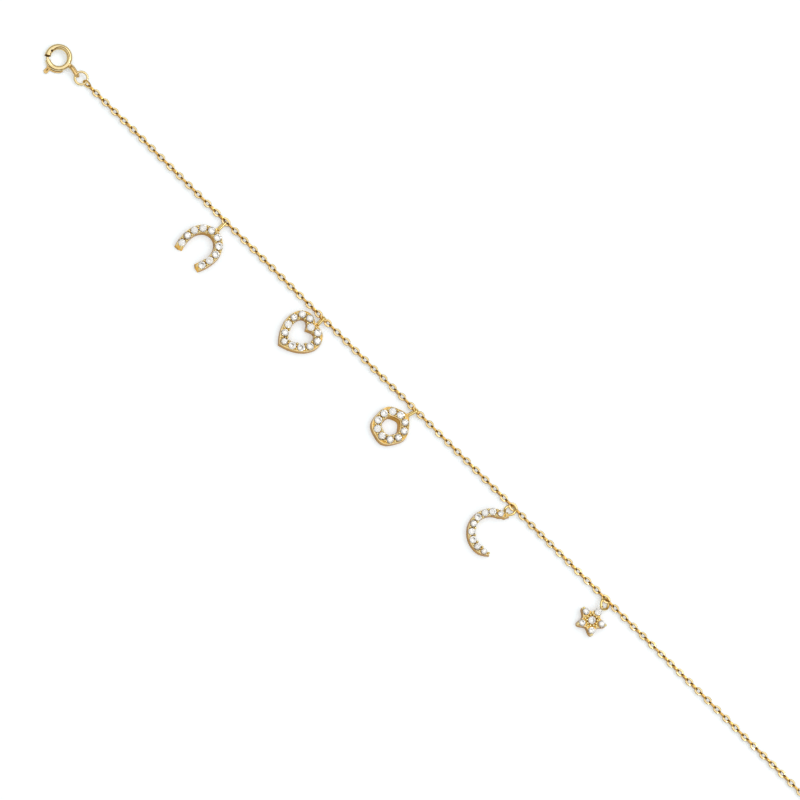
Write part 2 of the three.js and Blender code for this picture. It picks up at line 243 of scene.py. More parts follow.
# ---- shapes ----

# An edge sharper than this, in degrees, stays sharp on a cut piece.
CUT_CREASE = 32


class Shape:
    """Vertices in millimetres and faces, gathered to become one mesh."""

    def __init__(self):
        self.verts = []
        self.faces = []
        self.slots = []

    def add(self, verts, faces, place=Matrix(), slot=0):
        start = len(self.verts)
        self.verts += [place @ Vector(v) for v in verts]
        self.faces += [[start + i for i in face] for face in faces]
        self.slots += [slot] * len(faces)
        return self

    def put(self, other, place=Matrix()):
        start = len(self.verts)
        self.verts += [place @ v for v in other.verts]
        self.faces += [[start + i for i in face] for face in other.faces]
        self.slots += other.slots
        return self


def face_normal(verts, face):
    a, b, c = (verts[i] for i in face[:3])
    return (b - a).cross(c - a).normalized()


def make_object(name, shape, materials, crease=35, smooth=True):
    mesh = bpy.data.meshes.new(name)
    mesh.from_pydata([v * MM for v in shape.verts], [], shape.faces)
    for material in materials:
        mesh.materials.append(material)
    mesh.polygons.foreach_set("material_index", shape.slots)
    mesh.validate()
    mesh.polygons.foreach_set("use_smooth", [smooth] * len(mesh.polygons))
    if smooth:
        mesh.set_sharp_from_angle(angle=rad(crease))
    made = bpy.data.objects.new(name, mesh)
    bpy.context.scene.collection.objects.link(made)
    return made


def show(made, body="anklet", stands_for=None):
    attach(made, body)
    if stands_for:
        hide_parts(stands_for)
    return made


def smooth_step(value, low, high):
    t = min(1.0, max(0.0, (value - low) / (high - low)))
    return t * t * (3 - 2 * t)


def circle_section(radius, sides):
    steps = [2 * math.pi * i / sides for i in range(sides)]
    return [(radius * math.cos(a), radius * math.sin(a)) for a in steps]


def cut_section(out, up, flat_out, flat_up):
    """An eight-sided wire section with flat faces."""
    return [(out, -flat_up), (out, flat_up), (flat_out, up), (-flat_out, up),
            (-out, flat_up), (-out, -flat_up), (-flat_out, -up), (flat_out, -up)]


def sweep(path, section, closed=True, size=None):
    """A section carried along a level path, which runs anticlockwise seen from above. A section
    point is (outwards, upwards)."""
    normal = Vector((0, 0, 1))
    count, sides = len(path), len(section)
    verts, faces = [], []
    for i, point in enumerate(path):
        if closed:
            along = path[(i + 1) % count] - path[i - 1]
        else:
            along = path[min(i + 1, count - 1)] - path[max(i - 1, 0)]
        out = along.normalized().cross(normal)
        grow = size(i / count) if size else 1.0
        verts += [point + out * (a * grow) + normal * (b * grow) for a, b in section]
    for i in range(count if closed else count - 1):
        here, there = i * sides, ((i + 1) % count) * sides
        for j in range(sides):
            k = (j + 1) % sides
            faces.append([here + j, there + j, there + k, here + k])
    if not closed:
        faces.append(list(range(sides)))
        faces.append([(count - 1) * sides + j for j in reversed(range(sides))])
    return verts, faces


def arc_points(radius, start, end, steps):
    angles = [rad(start + (end - start) * i / steps) for i in range(steps + 1)]
    return [Vector((radius * math.cos(a), radius * math.sin(a), 0)) for a in angles]


def oval_points(half_x, half_y, steps, power=2.0):
    points = []
    for i in range(steps):
        a = 2 * math.pi * i / steps
        c, s = math.cos(a), math.sin(a)
        points.append(Vector((
            half_x * math.copysign(abs(c) ** (2 / power), c),
            half_y * math.copysign(abs(s) ** (2 / power), s),
            0,
        )))
    return points


def stadium_points(radius, side, steps):
    """Two half circles joined by straight sides along Y, evenly stepped."""
    bend = math.pi * radius
    length = 2 * (bend + side)
    points = []
    for i in range(steps):
        along = side / 2 + length * i / steps
        half, along = divmod(along, side + bend)
        flip = 1 if half % 2 == 0 else -1
        if along < side:
            points.append(Vector((flip * radius, flip * (along - side / 2), 0)))
        else:
            angle = (along - side) / radius
            points.append(Vector((flip * radius * math.cos(angle),
                                  flip * (side / 2 + radius * math.sin(angle)), 0)))
    return points


def lathe(profile, sides):
    """A turned solid about Z. The profile's (radius, height) points run from the bottom of
    the axis to its top."""
    verts, faces = [], []
    rings = []
    for radius, height in profile:
        if radius == 0:
            rings.append([len(verts)] * sides)
            verts.append(Vector((0, 0, height)))
        else:
            rings.append(list(range(len(verts), len(verts) + sides)))
            verts += [Vector((radius * math.cos(2 * math.pi * i / sides),
                              radius * math.sin(2 * math.pi * i / sides), height))
                      for i in range(sides)]
    for low, high in zip(rings, rings[1:]):
        for i in range(sides):
            j = (i + 1) % sides
            corners = [low[i], low[j], high[j], high[i]]
            face = [c for n, c in enumerate(corners) if c != corners[n - 1]]
            faces.append(face)
    return verts, faces


def ball(radius, centre, sides, rows):
    steps = [math.pi * i / rows for i in range(rows + 1)]
    profile = [(radius * math.sin(a), -radius * math.cos(a)) for a in steps]
    profile[0] = (0, -radius)
    profile[-1] = (0, radius)
    verts, faces = lathe(profile, sides)
    return [v + Vector(centre) for v in verts], faces


def cut_away(made, *cutters):
    """Cuts each cutter out of an object, and removes the cutters."""
    for cutter in cutters:
        step = made.modifiers.new("cut", "BOOLEAN")
        step.operation = "DIFFERENCE"
        step.solver = "EXACT"
        step.use_self = True
        step.object = cutter
    graph = bpy.context.evaluated_depsgraph_get()
    mesh = bpy.data.meshes.new_from_object(made.evaluated_get(graph))
    made.modifiers.clear()
    old = made.data
    made.data = mesh
    mesh.name = old.name
    bpy.data.meshes.remove(old)
    for cutter in cutters:
        bpy.data.objects.remove(cutter)
    mesh.polygons.foreach_set("use_smooth", [True] * len(mesh.polygons))
    mesh.set_sharp_from_angle(angle=rad(CUT_CREASE))
    return made


def take_shape(made):
    """An object's mesh as a shape in millimetres; the object is removed."""
    shape = Shape()
    shape.verts = [v.co / MM for v in made.data.vertices]
    shape.faces = [list(p.vertices) for p in made.data.polygons]
    shape.slots = [p.material_index for p in made.data.polygons]
    bpy.data.objects.remove(made)
    return shape


# ---- chain ----

def station(link):
    return Vector((CHAIN_X + link * LINK_PITCH, CHAIN_Y, 0))


def link_parts(width, reach, end_wire, shade_ends=False):
    """A link, its wire thinned at the ends, with its flat faces, its rim in painted shade, and the
    rim of its ends, deep inside the next links, in a darker painted shade, as separate slots."""
    wire = LINK_WIRE / 2
    section = cut_section(wire * 1.06, LINK_DEPTH / 2, wire * 0.72, LINK_DEPTH * 0.34)
    path = oval_points(reach, (width - LINK_WIRE) / 2, 28, 2.05)

    def size(share):
        return 1 - (1 - end_wire / LINK_WIRE) * math.cos(2 * math.pi * share) ** 4

    verts, faces = sweep(path, section, size=size)
    slots = []
    for face in faces:
        normal = face_normal(verts, face)
        middle = sum((verts[i] for i in face), Vector()) / len(face)
        outside = normal.dot(Vector((middle.x, middle.y, 0))) > 0
        # Flat faces keep the link gold. The rest of the rim takes painted shade, darkest at the
        # upright links' outer ends.
        is_shaded_end = shade_ends and outside and abs(middle.x) > LINK_END_SHADE_FROM
        is_flat = abs(normal.z) > 0.85
        slots.append(S_LINK if is_flat else S_LINK_END_SHADE if is_shaded_end else S_LINK_RIM_SHADE)
    return verts, faces, slots


def chain_shape():
    shape = Shape()
    flat, threaded = link_parts(*FLAT_LINK), link_parts(*THREADED_LINK)
    upright = link_parts(*UPRIGHT_LINK, shade_ends=True)
    for index in range(LINK_COUNT):
        if index in THREADED_ROLL:
            roll = THREADED_ROLL[index]
            sway = tip = 0.0
        else:
            roll = CHAIN_ROLL + (90 if index % 2 else 0) + rng.uniform(-5, 5)
            sway, tip = rng.uniform(-2.5, 2.5), rng.uniform(-2, 2)
        place = (Matrix.Translation(station(index) + Vector((0, 0, CHAIN_HEIGHT)))
                 @ Matrix.Rotation(rad(roll), 4, "X")
                 @ Matrix.Rotation(rad(sway), 4, "Z")
                 @ Matrix.Rotation(rad(tip), 4, "Y"))
        kind = threaded if index in THREADED_ROLL else upright if index % 2 else flat
        verts, faces, slots = kind
        shape.add(verts, faces, place)
        shape.slots[-len(slots):] = slots
    return shape


show(make_object("chain_links", chain_shape(), LINK_METALS, crease=28),
     stands_for="chain")


# ---- clasp ----

clasp_height = CLASP_TUBE + CLASP_RADIUS * math.sin(rad(CLASP_LEAN))
clasp_middle = station(0) + Vector((CLASP_FROM_FIRST_LINK, -CLASP_DROP, clasp_height))
CLASP_PLACE = Matrix.Translation(clasp_middle) @ Matrix.Rotation(rad(CLASP_LEAN), 4, "X")


def turned(angle):
    return Matrix.Rotation(rad(angle), 4, "Z")


def clasp_eye():
    """The eye is an upright bent wire, turned and rolled a little, with a filled root."""
    wire, half = CLASP_EYE["wire"], CLASP_EYE["half_height"]
    reach = CLASP_EYE["outer"] - CLASP_EYE["inner"] - 2 * wire
    shape = Shape()
    turn = (Matrix.Translation((CLASP_EYE["outer"], 0, 0)) @ turned(CLASP_EYE["turn"])
            @ Matrix.Translation(((CLASP_EYE["inner"] - CLASP_EYE["outer"]) / 2, 0, 0))
            @ Matrix.Rotation(rad(CLASP_EYE["roll"]), 4, "X")
            @ Matrix.Rotation(math.pi / 2, 4, "X") @ Matrix.Rotation(math.pi / 2, 4, "Z"))
    loop = sweep(stadium_points(half, reach - 2 * half, 44), circle_section(wire, 12))
    # The eye's wire takes the darker painted shade.
    shape.add(*loop, turn, S_DEEP_SHADE)
    root = (Matrix.Translation(EYE_ROOT_AT) @ turned(EYE_ROOT_TURN)
            @ Matrix.Diagonal((*EYE_ROOT_SIZE, 1)))
    shape.add(*ball(1.0, (0, 0, 0), 20, 12), root)
    return shape


def tube_size(share):
    """The tube is a little thinner by its eye, and thicker towards its free end."""
    angle = (TUBE_START + TUBE_SPAN * share) % 360
    by_eye = 1 - smooth_step(abs((angle + 180) % 360 - 180), 20, 75)
    by_end = smooth_step(angle, 105, 190) * (1 - smooth_step(angle, 225, 230))
    return 1 - 0.07 * by_eye + 0.10 * by_end


def on_tube(angle, across):
    """A point on the tube's upper face: across runs from -1, inside, to 1, outside."""
    tube = CLASP_TUBE * tube_size((angle - TUBE_START) % 360 / TUBE_SPAN)
    radius = CLASP_RADIUS + tube * across
    return Vector((radius * math.cos(rad(angle)), radius * math.sin(rad(angle)),
                   tube * math.sqrt(1 - across * across)))


def scored_line(start, end, across, width):
    """A cutter for a fine line along the tube, its cut faces in dark painted shade. The across and
    width change along it.
    """
    steps = 48
    path = [on_tube(start + (end - start) * i / steps, across(i / steps)) for i in range(steps + 1)]
    return Shape().add(*sweep(path, circle_section(1.0, 8), closed=False, size=width),
                       slot=S_RECESS_SHADE)


def tube_cutter(start, end, steps, section):
    """A cutter that follows the tube's middle line; its cut faces take the dark painted shade."""
    path = arc_points(CLASP_RADIUS, start, end, steps)
    return Shape().add(*sweep(path, section, closed=False), slot=S_RECESS_SHADE)


def clasp_tube():
    path = arc_points(CLASP_RADIUS, TUBE_START, TUBE_START + TUBE_SPAN, 110)
    tube = Shape().add(*sweep(path, circle_section(CLASP_TUBE, 28), closed=False,
                              size=tube_size))
    made = make_object("clasp_tube_body", tube, METALS)
    bore = tube_cutter(TUBE_START - 8, TUBE_START + TUBE_SPAN + 8, 110, circle_section(BORE, 16))
    window = tube_cutter(259, 331, 24, [(0.0, -0.16), (0.8, -0.10), (0.8, 0.22), (0.0, 0.16)])
    mouth = tube_cutter(211, 221, 8, [(-0.8, 0.06), (0.8, 0.06), (0.8, 0.8), (-0.8, 0.8)])
    seam = scored_line(48, 176, lambda t: 0.03 - 0.75 * smooth_step(t, 0.42, 1.12),
                       lambda t: 0.05 + 0.035 * math.sin(math.pi * t))
    line = scored_line(256, 334, lambda t: 0.45 + 0.1 * t,
                       lambda t: 0.02 + 0.06 * math.sin(math.pi * t) ** 0.5)
    # A small pit whose dark colour is painted shade.
    dimple = Shape().add(*ball(0.26, on_tube(179, -0.58), 14, 8), slot=S_RECESS_SHADE)
    cutters = {"bore": bore, "window": window, "mouth": mouth, "seam": seam, "line": line,
               "dimple": dimple}
    shape = take_shape(cut_away(made, *[make_object(name, cutter, METALS)
                                        for name, cutter in cutters.items()]))
    # The lip below the window takes the darker painted shade.
    lip_section = [(0.40, -0.30), (0.62, -0.12), (0.80, -0.14), (0.88, -0.22), (0.80, -0.33),
                   (0.46, -0.38), (0.30, -0.36)]
    shape.add(*sweep(arc_points(CLASP_RADIUS, 258, 332, 32), lip_section[::-1], closed=False,
                     size=lambda share: 0.72 + 0.25 * math.sin(math.pi * share) ** 0.5),
              slot=S_DEEP_SHADE)
    shape.put(clasp_eye())
    return Shape().put(shape, CLASP_PLACE)


def clasp_trigger():
    shape = Shape()
    bolt = arc_points(CLASP_RADIUS, 218.5, 300, 40)

    def bolt_size(share):
        return min(1.0, 0.5 + share * 12)

    shape.add(*sweep(bolt, circle_section(BOLT_RADIUS, 14), closed=False, size=bolt_size))
    half = KNOB_HALF
    outline = [(-0.12, -half * 0.9), (0.9, -half * 0.86)]
    outline += [(1.45 + half * math.sin(a), -half * math.cos(a))
                for a in (math.pi * i / 12 for i in range(13))]
    outline += [(0.9, half * 0.86), (-0.12, half * 0.9)]
    levels = [(-0.21, 0.80), (-0.13, 1.0), (0.10, 1.0), (0.18, 0.88), (0.21, 0.66)]
    verts, faces = [], []
    count = len(outline)
    middle = 0.8
    for height, grow in levels:
        verts += [Vector((2.07 + middle + (x - middle) * (0.5 + grow / 2), y * grow, height))
                  for x, y in outline]
    for level in range(len(levels) - 1):
        for i in range(count):
            j = (i + 1) % count
            low, high = level * count, (level + 1) * count
            faces.append([low + i, low + j, high + j, high + i])
    faces.append(list(reversed(range(count))))
    faces.append([(len(levels) - 1) * count + i for i in range(count)])
    # The lever's knob takes the darker painted shade.
    knob = make_object("knob", Shape().add(verts, faces, slot=S_DEEP_SHADE), METALS)
    # The knob's groove takes the dark painted shade.
    groove = Shape().add(*lathe([(0, 0.0), (0.09, 0.04), (0.13, 0.5), (0, 0.5)], 12),
                         Matrix.Translation((KNOB_GROOVE_AT, 0, 0))
                         @ Matrix.Diagonal((3.0, 1, 1, 1)), S_RECESS_SHADE)
    made = take_shape(cut_away(knob, make_object("groove", groove, METALS)))
    shape.put(made, turned(KNOB_ANGLE))
    return Shape().put(shape, CLASP_PLACE)


def jump_ring(radius, wire, joint_at, gap=1.6):
    """A round ring, open by a hairline joint."""
    path = arc_points(radius, joint_at + gap / 2, joint_at + 360 - gap / 2, 60)
    return Shape().add(*sweep(path, circle_section(wire, 12), closed=False))


show(make_object("clasp_spring_ring", clasp_tube(), METALS), stands_for="clasp_tube")
show(make_object("clasp_lever", clasp_trigger(), METALS), body="trigger",
     stands_for="clasp_trigger")

slope = math.asin((clasp_height - CHAIN_HEIGHT) / (2 * CLASP_RING_RADIUS))
ring_place = (Matrix.Translation(station(0) + Vector((
    CLASP_FROM_FIRST_LINK + JUMP_RING_AT, 0, (clasp_height + CHAIN_HEIGHT) / 2)))
    @ Matrix.Rotation(rad(CLASP_LEAN), 4, "X") @ Matrix.Rotation(slope, 4, "Y"))
clasp_ring = jump_ring(CLASP_RING_RADIUS, CLASP_RING_WIRE, 38, 3.0)
show(make_object("clasp_ring", Shape().put(clasp_ring, ring_place), [GOLD]),
     stands_for="clasp_jump_ring")

end_slope = math.asin((CHAIN_HEIGHT - END_RING_WIRE) / (2 * END_RING_RADIUS))
end_x = 0.72 - END_RING_WIRE - 0.1 + END_RING_RADIUS * math.cos(end_slope)
end_place = (Matrix.Translation(station(LINK_COUNT - 1) + Vector((
    end_x, 0, (CHAIN_HEIGHT + END_RING_WIRE) / 2))) @ Matrix.Rotation(end_slope, 4, "Y"))
end_ring = jump_ring(END_RING_RADIUS, END_RING_WIRE, 0)
show(make_object("end_jump_ring", Shape().put(end_ring, end_place), [GOLD]),
     stands_for="end_ring")


# ---- charm outlines ----

def offset_line(points, distance):
    """The line at a distance to the left of an open line."""
    moved = []
    for i, point in enumerate(points):
        before, after = points[max(i - 1, 0)], points[min(i + 1, len(points) - 1)]
        along = (after - before).normalized()
        moved.append(Vector((point.x - along.y * distance, point.y + along.x * distance)))
    return moved


def grow_loop(loop, distance):
    """A closed anticlockwise loop, moved outwards."""
    count = len(loop)
    moved = []
    for i in range(count):
        a = (loop[i] - loop[i - 1]).normalized()
        b = (loop[(i + 1) % count] - loop[i]).normalized()
        normal = Vector((a.y + b.y, -a.x - b.x))
        if normal.length < 1e-6:
            normal = Vector((a.y, -a.x))
        normal.normalize()
        lean = max(0.6, normal.dot(Vector((a.y, -a.x))))
        moved.append(loop[i] + normal * (distance / lean))
    return moved


def resample(points, count, cut=0.0):
    """Evenly spaced points along an open line, with a length cut from each end."""
    lengths = [0.0]
    for a, b in zip(points, points[1:]):
        lengths.append(lengths[-1] + (b - a).length)
    total = lengths[-1]
    made, at = [], 0
    for i in range(count):
        goal = cut + (total - 2 * cut) * i / (count - 1)
        while at < len(points) - 2 and lengths[at + 1] < goal:
            at += 1
        share = (goal - lengths[at]) / (lengths[at + 1] - lengths[at])
        made.append(points[at].lerp(points[at + 1], share))
    return made


def line_length(points):
    return sum((b - a).length for a, b in zip(points, points[1:]))


def ellipse_arc(wide, tall, start, end, steps=60):
    angles = [rad(start + (end - start) * i / steps) for i in range(steps + 1)]
    return [Vector((wide * math.cos(a), tall * math.sin(a))) for a in angles]


def bezier(a, b, c, d, steps=60):
    points = []
    for i in range(steps + 1):
        t = i / steps
        u = 1 - t
        points.append(a * u ** 3 + b * (3 * u * u * t) + c * (3 * u * t * t) + d * t ** 3)
    return points


class Charm:
    """A charm's loops by level, its stones, its pairs of beads between stones with a pit between
    them painted dark as shade, and its other beads, flat on the plane."""

    def __init__(self, loops, stones, pairs, beads=(), radii=None):
        self.loops = loops
        self.stones = stones
        self.pairs = pairs
        self.beads = list(beads)
        self.radii = radii or [STONE_R] * len(stones)


# Steps along a charm's line, fine enough to set its stones by.
FINE_STEPS = 600
RIM_FOOT = 1.4
# Height, how far the wall stands out there, and how far an end is drawn back.
LEVELS = [(0.0, 0.04, 0.05), (0.07, 0.11, 0.0), (0.75, 0.05, 0.12), (RIM_FOOT, 0.0, 0.42),
          (BODY_TOP, -0.05, 0.48), (BODY_TOP, -0.12, 0.54), (BODY_TOP - 0.13, -0.17, 0.60)]
# How far the foot of each charm's inner wall stands out past its rim.
INNER_LEAN = {"horseshoe": 0.14, "heart": 0.05, "circle": 0.22, "moon": 0.10}


def leaned(points, height, lean):
    """The inner walls lean: their foot is further towards -Y than their rim."""
    shift = Vector((0, -lean * max(0.0, 1 - height / RIM_FOOT)))
    return [p + shift for p in points]


def between(stones, spread, closed, inner=None):
    """A pair of beads in each gap of a row of stones, one on each side."""
    pairs = []
    count = len(stones)
    for i in range(count if closed else count - 1):
        a, b = stones[i], stones[(i + 1) % count]
        middle = (a + b) / 2
        along = (b - a).normalized()
        side = Vector((-along.y, along.x))
        pairs.append((middle + side * spread, middle - side * (inner or spread)))
    return pairs


def end_beads(stones, reach, spread):
    """Two beads beyond each end of a row of stones."""
    beads = []
    for tip, back in ((stones[0], stones[1]), (stones[-1], stones[-2])):
        along = (tip - back).normalized()
        side = Vector((-along.y, along.x))
        beads += [tip + along * reach + side * spread, tip + along * reach - side * spread]
    return beads


def horseshoe():
    wide, up, down, heel = 3.17, 3.6, 5.4, 38
    half_width, pitch, count = 0.75, 1.72, 10
    line = ellipse_arc(wide, down, 180 + heel, 180)[:-1]
    line += ellipse_arc(wide, up, 180, 0)
    line += ellipse_arc(wide, down, 0, -heel)[1:]
    loops = []
    for height, grow, back in LEVELS:
        middle = resample(line, 61, back)
        half = half_width + grow
        first = middle[0] + (middle[0] - middle[1]).normalized() * (0.3 * half)
        last = middle[-1] + (middle[-1] - middle[-2]).normalized() * (0.3 * half)
        inside = leaned(offset_line(middle, -half), height, INNER_LEAN["horseshoe"])
        loops.append([[first] + inside + [last] + offset_line(middle, half)[::-1]])
    length = line_length(line)
    fine = resample(line, FINE_STEPS + 1)
    stones = [fine[round(FINE_STEPS * (0.5 + (i - (count - 1) / 2) * pitch / length))]
              for i in range(count)]
    return Charm(loops, stones, between(stones, 0.5, False), end_beads(stones, 0.74, 0.42))


def heart():
    side = bezier(Vector((0, 2.25)), Vector((0.55, 2.8)), Vector((1.9, 3.5)), Vector((2.85, 2.1)))
    side += bezier(Vector((2.85, 2.1)), Vector((3.75, 0.75)), Vector((2.9, -1.9)),
                   Vector((0, -3.65)))[1:]
    side = resample(side, 61)

    def mirror(point):
        return Vector((-point.x, point.y))

    def outline(distance):
        moved = [p for p in offset_line(side, distance) if p.x > 0.01]
        notch = Vector((0, moved[0].y + (moved[1].y - moved[0].y) * moved[0].x
                        / (moved[0].x - moved[1].x)))
        point = Vector((0, moved[-1].y + (moved[-2].y - moved[-1].y) * moved[-1].x
                        / (moved[-1].x - moved[-2].x)))
        right = resample([notch] + moved + [point], 49)
        return [mirror(p) for p in right] + right[1:-1][::-1]

    outer, inner = outline(0.83), outline(-0.74)
    loops = [[grow_loop(outer, grow),
              leaned(grow_loop(inner, -grow), height, INNER_LEAN["heart"])]
             for height, grow, _ in LEVELS]
    fine = resample(side, FINE_STEPS + 1)
    right = fine[::FINE_STEPS // 6]
    stones = right + [mirror(p) for p in right[-2:0:-1]]
    return Charm(loops, stones, between(stones, 0.52, True))


def soft_pentagon(flat, swell, corner, tall, count=80):
    loop = []
    for i in range(count):
        angle = 2 * math.pi * i / count
        radius = flat * (1 + swell * (1 + math.cos(5 * (angle - rad(corner)))))
        loop.append(Vector((radius * math.cos(angle), radius * math.sin(angle) * tall)))
    return loop


def circle():
    corner, tall, stone_ring, count = 75, 1.04, 2.65, 10
    outer = soft_pentagon(3.38, 0.035, corner, tall + 0.02)
    inner = soft_pentagon(1.66, 0.04, corner, tall)
    loops = [[grow_loop(outer, grow),
              leaned(grow_loop(inner, -grow * 1.6), height, INNER_LEAN["circle"])]
             for height, grow, _ in LEVELS]
    stones = []
    for i in range(count):
        angle = rad(corner + 18 + 36 * i)
        stones.append(Vector((stone_ring * math.cos(angle), stone_ring * math.sin(angle) * tall)))
    return Charm(loops, stones, between(stones, 0.5, True, 0.55))


def moon():
    """A crescent round its middle, from the angle of its upper end to that of its lower one."""
    upper, lower, ring, first_stone, stone_step = 86, 308, 4, 110.3, 22.4

    def rim(middle, top, tip, grow, back, later=0):
        points = []
        first = upper + later + math.degrees(back * 0.4 / ring)
        last = lower - math.degrees(back * 0.5 / ring)
        for i in range(61):
            angle = first + (last - first) * i / 60
            to_upper = smooth_step(angle, upper + 6, 112)
            to_lower = 1 - smooth_step(angle, 276, lower)
            radius = middle + (top - middle) * (1 - to_upper) + (tip - middle) * (1 - to_lower)
            radius += grow
            points.append(Vector((radius * math.cos(rad(angle)), radius * math.sin(rad(angle)))))
        return points

    loops = [[rim(4.68, 4.5, 4.32, grow, back)
              + leaned(rim(3.33, 3.84, 3.86, -grow, back, 6), height, INNER_LEAN["moon"])[::-1]]
             for height, grow, back in LEVELS]
    stones = []
    for i in range(9):
        angle = rad(first_stone + stone_step * i)
        stones.append(Vector((ring * math.cos(angle), ring * math.sin(angle))))
    tips = [Vector((reach * math.cos(rad(angle)), reach * math.sin(rad(angle))))
            for reach, angle in ((4.1, 95), (3.98, 303))]
    radii = [END_STONE_R] + [SMALL_STONE_R] * 7 + [END_STONE_R]
    return Charm(loops, stones, between(stones, 0.48, False), tips, radii)


def star():
    """The first point is shorter than the others, to leave room for its jump ring."""
    short, long, notch, flank, stone_ring = 2.70, 2.88, 1.72, 1.98, 2.0
    outline = []
    for point in range(5):
        angle = 90 + 72 * point
        tip = short if point == 0 else long
        for turn, radius in ((-36, notch), (-21, flank), (-12, tip - 0.42), (-6, tip - 0.1),
                             (0, tip), (6, tip - 0.1), (12, tip - 0.42), (21, flank)):
            at = rad(angle + turn)
            outline.append(Vector((radius * math.cos(at), radius * math.sin(at))))
    loops = [[grow_loop(outline, grow)] for _, grow, _ in LEVELS]
    stones = [Vector((0, 0))]
    beads = []
    for i in range(5):
        angle = rad(90 + 72 * i)
        out = Vector((math.cos(angle), math.sin(angle)))
        side = Vector((-out.y, out.x))
        stones.append(out * stone_ring)
        corner = Vector((math.cos(angle + math.pi / 5), math.sin(angle + math.pi / 5)))
        beads += [out * 0.98 + side * 0.31, out * 0.98 - side * 0.31, corner * 1.36]
        if i:
            beads.append(out * 2.74)
    return Charm(loops, stones, [], beads, [STONE_R] + [SMALL_STONE_R] * 5)


# ---- charms ----

# A wall face of an open charm that rises this far towards level is one of its bevelled ends.
HEEL_SLOPE = 0.2


def loft(levels):
    """A closed solid from loops at rising heights; each level has an outer loop, and may have
    a hole's loop after it."""
    shape = Shape()
    verts, faces = [], []
    starts = []
    for height, loops in levels:
        starts.append([])
        for loop in loops:
            starts[-1].append(len(verts))
            verts += [Vector((p.x, p.y, height)) for p in loop]
    slots = []
    for low, high, (height, loops) in zip(starts, starts[1:], levels):
        for hole, (a, b, loop) in enumerate(zip(low, high, loops)):
            count = len(loop)
            for i in range(count):
                j = (i + 1) % count
                face = [a + i, a + j, b + j, b + i]
                faces.append(face[::-1] if hole else face)
                # A bevelled end face takes the painted reflection.
                is_heel = face_normal(verts, faces[-1]).z > HEEL_SLOPE and len(loops) == 1
                # Faces below the rim's foot take the walls' painted shade.
                slots.append(S_GOLD if height >= RIM_FOOT else S_HEEL_REFLECTION if is_heel else S_WALL_SHADE)
    for end, flip in ((0, True), (-1, False)):
        height, loops = levels[end]
        flat = [[Vector((p.x, p.y, 0)) for p in loop] for loop in loops]
        for triangle in tessellate_polygon(flat):
            corners = [starts[end][0] + i for i in triangle]
            a, b, c = (verts[i] for i in corners)
            up = (b - a).cross(c - a).z > 0
            faces.append(corners if up != flip else corners[::-1])
        # The base takes the walls' painted shade, and the sunk top takes the channel's painted
        # shade.
        slots += [S_WALL_SHADE if end == 0 else S_CHANNEL_SHADE] * (len(faces) - len(slots))
    shape.add(verts, faces)
    shape.slots = slots
    return shape


def brilliant(radius, depth, table):
    """A round brilliant with its girdle at height 0. Its depth below that, and the width of
    its table, are shares of its own radius."""
    crown, pavilion, girdle = 0.32 * radius, depth * radius, 0.03 * radius
    verts = []

    def ring(share, height, count, offset):
        first = len(verts)
        for i in range(count):
            angle = 2 * math.pi * (i + offset) / count
            verts.append(Vector((share * radius * math.cos(angle),
                                 share * radius * math.sin(angle), height)))
        return [first + i for i in range(count)]

    def plane_height(share, apex_share):
        flat = share * math.cos(math.pi / 8)
        return (1 - flat) / (1 - apex_share)

    top = ring(table, girdle + crown, 8, 0)
    mid = ring(0.77, girdle + crown * plane_height(0.77, table), 8, 0.5)
    high = ring(1.0, girdle, 16, 0)
    low = ring(1.0, 0.0, 16, 0)
    deep = ring(0.24, -pavilion * plane_height(0.24, 0.0), 8, 0.5)
    culet = len(verts)
    verts.append(Vector((0, 0, -pavilion)))
    faces = [top[:]]
    for k in range(8):
        n = (k + 1) % 8
        a, b, c = 2 * k, (2 * k + 1) % 16, (2 * k + 2) % 16
        faces += [
            [top[n], top[k], mid[k]],
            [top[k], mid[k - 1], high[a], mid[k]],
            [mid[k], high[a], high[b]],
            [mid[k], high[b], high[c]],
            [high[a], low[a], low[b], high[b]],
            [high[b], low[b], low[c], high[c]],
            [low[a], deep[k], low[b]],
            [low[b], deep[k], low[c]],
            [low[a], deep[k - 1], culet, deep[k]],
        ]
    return verts, faces


def turned_ring(profile, sides):
    """A ring turned about Z from a closed (radius, height) profile."""
    verts, faces = [], []
    count = len(profile)
    for i in range(sides):
        angle = 2 * math.pi * i / sides
        verts += [Vector((r * math.cos(angle), r * math.sin(angle), z)) for r, z in profile]
    for i in range(sides):
        here, there = i * count, (i + 1) % sides * count
        for j in range(count):
            k = (j + 1) % count
            faces.append([here + j, there + j, there + k, here + k])
    return verts, faces


def bead_solid(radius):
    """A grain of metal raised beside a stone and rounded over its edge."""
    return lathe([(0, 0.98), (radius, 0.98), (radius, 1.68), (radius * 0.93, 1.77),
                  (radius * 0.72, 1.84), (radius * 0.38, 1.885), (0, 1.90)], 14)


BUILDERS = {"horseshoe": horseshoe, "heart": heart, "circle": circle, "moon": moon, "star": star}


def flat_bail_turn(charm):
    swing = rad(charm["swing"])
    axis = Vector((-math.sin(swing), math.cos(swing), 0))
    return Matrix.Rotation(rad(-charm["up"] * FLAT_BAIL["tilt"]), 4, axis)


def eye_place(charm):
    if "eye" in charm:
        return Vector((*charm["eye"], EYE_HEIGHT)), False
    low = flat_bail_turn(charm) @ Vector((0, -FLAT_BAIL["radius"], 0))
    return low + Vector((charm["ring_x"], -FLAT_BAIL["drop"], FLAT_BAIL["height"])), True


